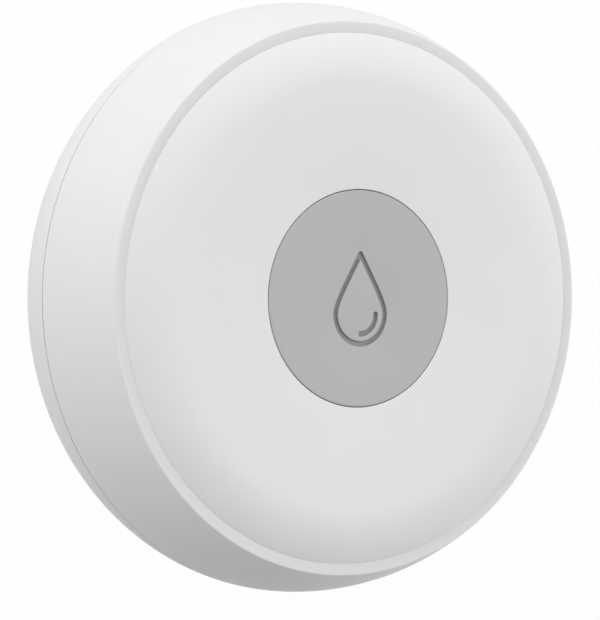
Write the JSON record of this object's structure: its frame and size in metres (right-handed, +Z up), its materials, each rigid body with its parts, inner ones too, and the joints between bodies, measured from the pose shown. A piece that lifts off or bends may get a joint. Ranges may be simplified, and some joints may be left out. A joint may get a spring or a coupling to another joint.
{
  "type": "water leak sensor",
  "caption": "Round white floor puck that senses water through steel probes under it, with a flush grey push button in its domed face.",
  "frame": {"origin": "centre of the four probe tips, on the floor that the sensor lies on", "axes": "+Z up out of the button's face, +Y the way the drop mark's tip points"},
  "size_m": [0.064, 0.064, 0.0231],
  "materials": {
    "white_plastic": "fine satin moulded white",
    "grey_plastic": "fine satin moulded mid grey",
    "seal_rubber": "smooth black sealing rubber",
    "clear_silicone": "matt milky silicone",
    "carrier_plastic": "matt black moulded",
    "plated_steel": "zinc-plated steel",
    "probe_steel": "turned stainless steel",
    "board_laminate": "green solder mask",
    "module_can": "tinned shield can",
    "chip_plastic": "matt black epoxy",
    "capacitor_case": "moulded ochre case",
    "led_lens": "clear yellowish lens",
    "plunger_plastic": "moulded dark plunger",
    "cell_case": "plain grey sleeve",
    "contact_metal": "nickel-plated spring sheet",
    "contact_pin_metal": "gold-plated pin"
  },
  "bodies": {
    "base": {"base_shell": "white_plastic", "seal_ring": "seal_rubber", "probe_nuts": "plated_steel", "probe_1": "probe_steel", "probe_2": "probe_steel", "probe_3": "probe_steel", "probe_4": "probe_steel", "probe_seal_1": "seal_rubber", "probe_seal_2": "seal_rubber", "probe_seal_3": "seal_rubber", "probe_seal_4": "seal_rubber"},
    "housing": {"top_housing": "white_plastic", "face_cover": "white_plastic", "button_membrane": "clear_silicone", "clamp_ring": "carrier_plastic", "clamp_screws": "plated_steel", "circuit_board": "board_laminate", "radio_module": "module_can", "control_chip": "chip_plastic", "storage_capacitor": "capacitor_case", "status_led": "led_lens", "tactile_switch": "chip_plastic", "battery_carrier": "carrier_plastic", "carrier_screws": "plated_steel", "battery_1": "cell_case", "battery_2": "cell_case", "bridge_contact": "contact_metal", "negative_contact": "contact_metal", "positive_contact": "contact_metal", "probe_contact_1": "contact_pin_metal", "probe_contact_2": "contact_pin_metal", "probe_contact_3": "contact_pin_metal", "probe_contact_4": "contact_pin_metal"},
    "button": {"button_cap": "grey_plastic"},
    "plunger": {"switch_plunger": "plunger_plastic"}
  },
  "joints": [
    {"name": "housing_twist", "type": "hinge", "parent": "base", "child": "housing", "pos_m": [0, 0, 0.0124], "axis": [0, 0, 1], "range_deg": [0, 22]},
    {"name": "button_press", "type": "slide", "parent": "housing", "child": "button", "axis": [0, 0, -1], "range_m": [0, 0.0004], "stiffness_N_per_m": 400, "springref_m": -0.003, "deforming": ["button_membrane"]},
    {"name": "plunger_press", "type": "slide", "parent": "housing", "child": "plunger", "axis": [0, 0, -1], "range_m": [0, 0.0004]}
  ],
  "couplings": [
    {"joint": "plunger_press", "follows": "button_press", "ratio": 1}
  ]
}
